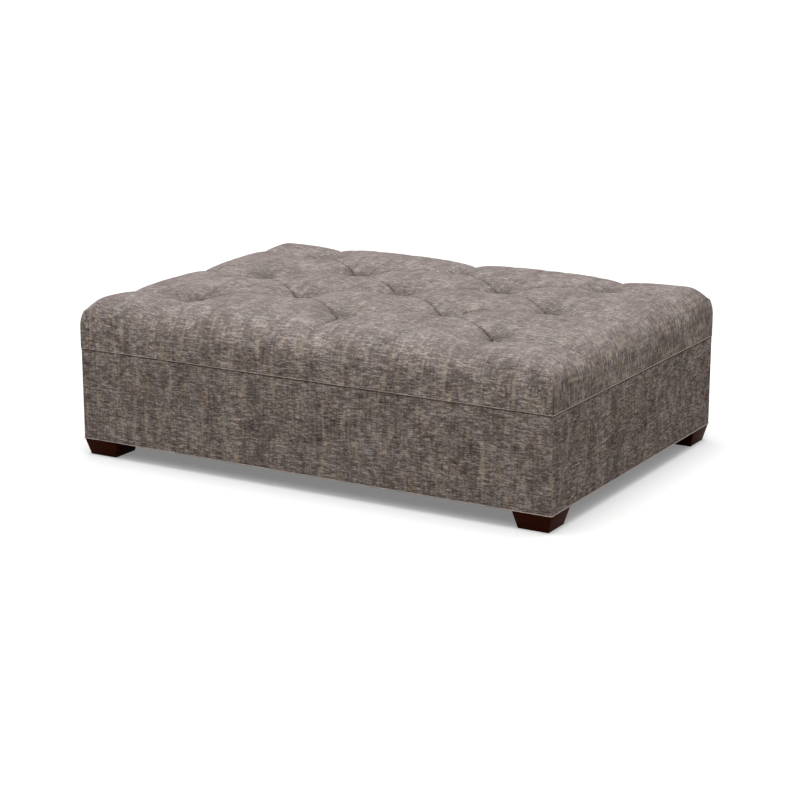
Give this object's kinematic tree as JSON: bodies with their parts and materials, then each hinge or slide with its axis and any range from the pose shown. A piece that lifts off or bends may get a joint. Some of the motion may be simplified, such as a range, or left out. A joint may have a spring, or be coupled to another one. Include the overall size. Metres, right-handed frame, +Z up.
{
  "type": "ottoman coffee table",
  "caption": "Low rectangular upholstered ottoman coffee table with a diamond-tufted padded top, plain sides and tapered block feet.",
  "frame": {"origin": "on the floor under the middle of the ottoman", "axes": "+X along the long side, to the right seen from the front; -Y towards the front; +Z up"},
  "size_m": [1.3734, 0.967, 0.432],
  "materials": {
    "upholstery": "matte",
    "welting": "matte",
    "foot_finish": "satin",
    "frame_wood": "matte",
    "plywood": "matte",
    "toggle_wood": "matte",
    "foam": "matte",
    "wadding": "matte",
    "side_padding": "matte",
    "card_strip": "matte",
    "dust_cloth": "matte",
    "twine": "matte",
    "zinc_steel": "satin"
  },
  "bodies": {
    "root": {"back_pad": "side_padding", "back_panel": "upholstery", "back_rail": "frame_wood", "centre_brace": "frame_wood", "corner_block_back_left": "frame_wood", "corner_block_back_right": "frame_wood", "corner_block_front_left": "frame_wood", "corner_block_front_right": "frame_wood", "deck_screws": "zinc_steel", "dust_cover": "dust_cloth", "fibre_wrap": "wadding", "foot_back_left": "foot_finish", "foot_back_right": "foot_finish", "foot_front_left": "foot_finish", "foot_front_right": "foot_finish", "front_pad": "side_padding", "front_panel": "upholstery", "front_rail": "frame_wood", "hanger_bolts": "zinc_steel", "hem_welt": "welting", "left_cross_rail": "frame_wood", "left_pad": "side_padding", "left_panel": "upholstery", "left_rail": "frame_wood", "right_cross_rail": "frame_wood", "right_pad": "side_padding", "right_panel": "upholstery", "right_rail": "frame_wood", "seam_welt": "welting", "seat_foam": "foam", "tack_strip": "card_strip", "tee_nuts": "zinc_steel", "top_cover": "upholstery", "top_deck": "plywood", "tuft_toggles": "toggle_wood", "tuft_twines": "twine"}
  },
  "joints": []
}
